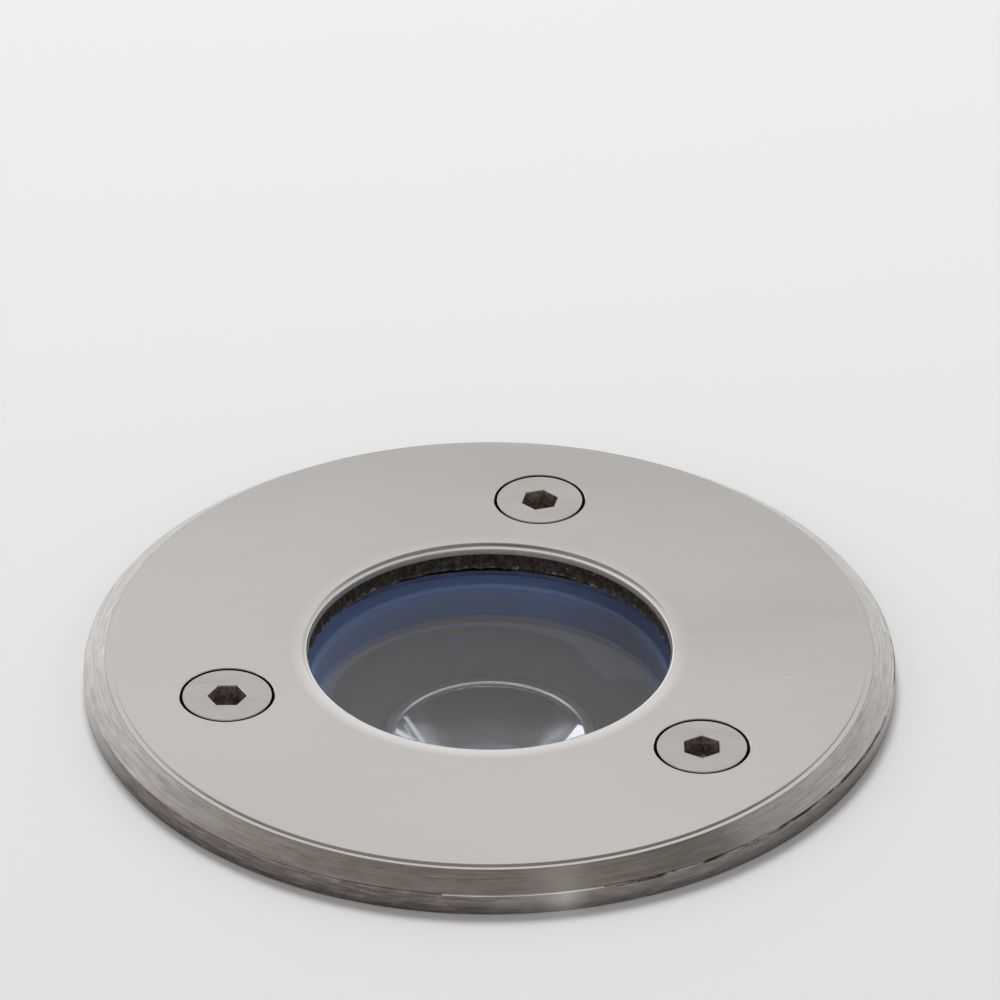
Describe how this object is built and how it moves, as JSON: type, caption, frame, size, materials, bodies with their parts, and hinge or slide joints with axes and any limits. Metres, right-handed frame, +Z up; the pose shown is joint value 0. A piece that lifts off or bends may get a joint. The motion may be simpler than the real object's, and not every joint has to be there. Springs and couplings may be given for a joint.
{
  "type": "in ground well light",
  "caption": "Round steel-rimmed in ground light: recessed glass under a screwed trim ring, baffled reflector lamp, cast housing with cable gland, and a plastic ground sleeve.",
  "frame": {"origin": "on the light's axis, at the ground line, which is the underside of the trim ring", "axes": "+Z straight up out of the ground, +X to the right and +Y to the back of the view in the picture, with one cover screw near +Y"},
  "size_m": [0.11, 0.11, 0.1351],
  "materials": {
    "trim_steel": "stainless steel, finely brushed, with a polished rim",
    "screw_steel": "stainless steel, turned and polished",
    "front_glass": "clear toughened glass",
    "gasket_rubber": "black silicone rubber",
    "baffle_paint": "blue grey satin paint on spun aluminium",
    "housing_coat": "dark grey powder coat on die-cast aluminium",
    "sleeve_plastic": "black moulded polypropylene",
    "holder_ceramic": "unglazed white steatite",
    "terminal_brass": "plain brass",
    "plated_steel": "bright zinc plate on steel",
    "block_plastic": "natural white polyamide",
    "live_sheath": "brown silicone insulation",
    "neutral_sheath": "blue silicone insulation",
    "earth_sheath": "green and yellow silicone insulation",
    "gland_plastic": "black polyamide",
    "lamp_aluminium": "cast aluminium, blasted",
    "lamp_plastic": "white heat-resistant plastic",
    "lens_plastic": "clear moulded lens",
    "ring_chrome": "polished chrome plate",
    "board_ceramic": "white ceramic board with a yellow phosphor patch"
  },
  "bodies": {
    "sleeve": {"mounting_sleeve": "sleeve_plastic"},
    "light": {"housing": "housing_coat", "lower_gasket": "gasket_rubber", "baffle": "baffle_paint", "lamp_holder": "holder_ceramic", "holder_contacts": "terminal_brass", "holder_bracket": "plated_steel", "holder_screws": "plated_steel", "bracket_screws": "plated_steel", "terminal_block": "block_plastic", "terminal_tubes": "terminal_brass", "terminal_screws": "plated_steel", "block_screws": "plated_steel", "live_lead": "live_sheath", "neutral_lead": "neutral_sheath", "earth_lead": "earth_sheath", "earth_tab": "plated_steel", "earth_screw": "plated_steel", "gland_body": "gland_plastic", "gland_washer": "gasket_rubber", "gland_lock_nut": "gland_plastic"},
    "cover": {"trim_ring": "trim_steel", "glass_lens": "front_glass", "upper_gasket": "gasket_rubber"},
    "left_screw_ring": {"left_screw_seal": "gasket_rubber"},
    "left_screw": {"left_screw": "screw_steel"},
    "right_screw_ring": {"right_screw_seal": "gasket_rubber"},
    "right_screw": {"right_screw": "screw_steel"},
    "rear_screw_ring": {"rear_screw_seal": "gasket_rubber"},
    "rear_screw": {"rear_screw": "screw_steel"},
    "lamp": {"lamp_heat_sink": "lamp_aluminium", "lamp_base": "lamp_plastic", "lamp_pins": "plated_steel", "lamp_lens": "lens_plastic", "lens_ring": "ring_chrome", "led_board": "board_ceramic"},
    "gland_seal": {"gland_seal": "gasket_rubber"},
    "gland_nut": {"gland_nut": "gland_plastic"}
  },
  "joints": [
    {"name": "lift_out", "type": "slide", "parent": "sleeve", "child": "light", "axis": [0, 0, 1], "range_m": [0, 0.13]},
    {"name": "cover_lift", "type": "slide", "parent": "light", "child": "cover", "axis": [0, 0, 1], "range_m": [0, 0.03]},
    {"name": "left_screw_rise", "type": "slide", "parent": "cover", "child": "left_screw_ring", "axis": [0, 0, 1], "range_m": [0, 0.016]},
    {"name": "left_screw_turn", "type": "hinge", "parent": "left_screw_ring", "child": "left_screw", "pos_m": [-0.03513, -0.01223, 0], "axis": [0, 0, 1], "range_deg": [0, 5761]},
    {"name": "right_screw_rise", "type": "slide", "parent": "cover", "child": "right_screw_ring", "axis": [0, 0, 1], "range_m": [0, 0.016]},
    {"name": "right_screw_turn", "type": "hinge", "parent": "right_screw_ring", "child": "right_screw", "pos_m": [0.02816, -0.02431, 0], "axis": [0, 0, 1], "range_deg": [0, 5761]},
    {"name": "rear_screw_rise", "type": "slide", "parent": "cover", "child": "rear_screw_ring", "axis": [0, 0, 1], "range_m": [0, 0.016]},
    {"name": "rear_screw_turn", "type": "hinge", "parent": "rear_screw_ring", "child": "rear_screw", "pos_m": [0.00697, 0.03654, 0], "axis": [0, 0, 1], "range_deg": [0, 5761]},
    {"name": "lamp_twist", "type": "hinge", "parent": "light", "child": "lamp", "pos_m": [0, 0, -0.0616], "axis": [0, 0, 1], "range_deg": [0, 25]},
    {"name": "gland_nut_drop", "type": "slide", "parent": "light", "child": "gland_seal", "axis": [0, 0, -1], "range_m": [0, 0.006]},
    {"name": "gland_nut_turn", "type": "hinge", "parent": "gland_seal", "child": "gland_nut", "pos_m": [0, 0, -0.115], "axis": [0, 0, -1], "range_deg": [0, 1441]}
  ],
  "couplings": [
    {"joint": "left_screw_turn", "follows": "left_screw_rise", "rad_per_m": 6283.2},
    {"joint": "right_screw_turn", "follows": "right_screw_rise", "rad_per_m": 6283.2},
    {"joint": "rear_screw_turn", "follows": "rear_screw_rise", "rad_per_m": 6283.2},
    {"joint": "gland_nut_turn", "follows": "gland_nut_drop", "rad_per_m": 4188.8}
  ]
}
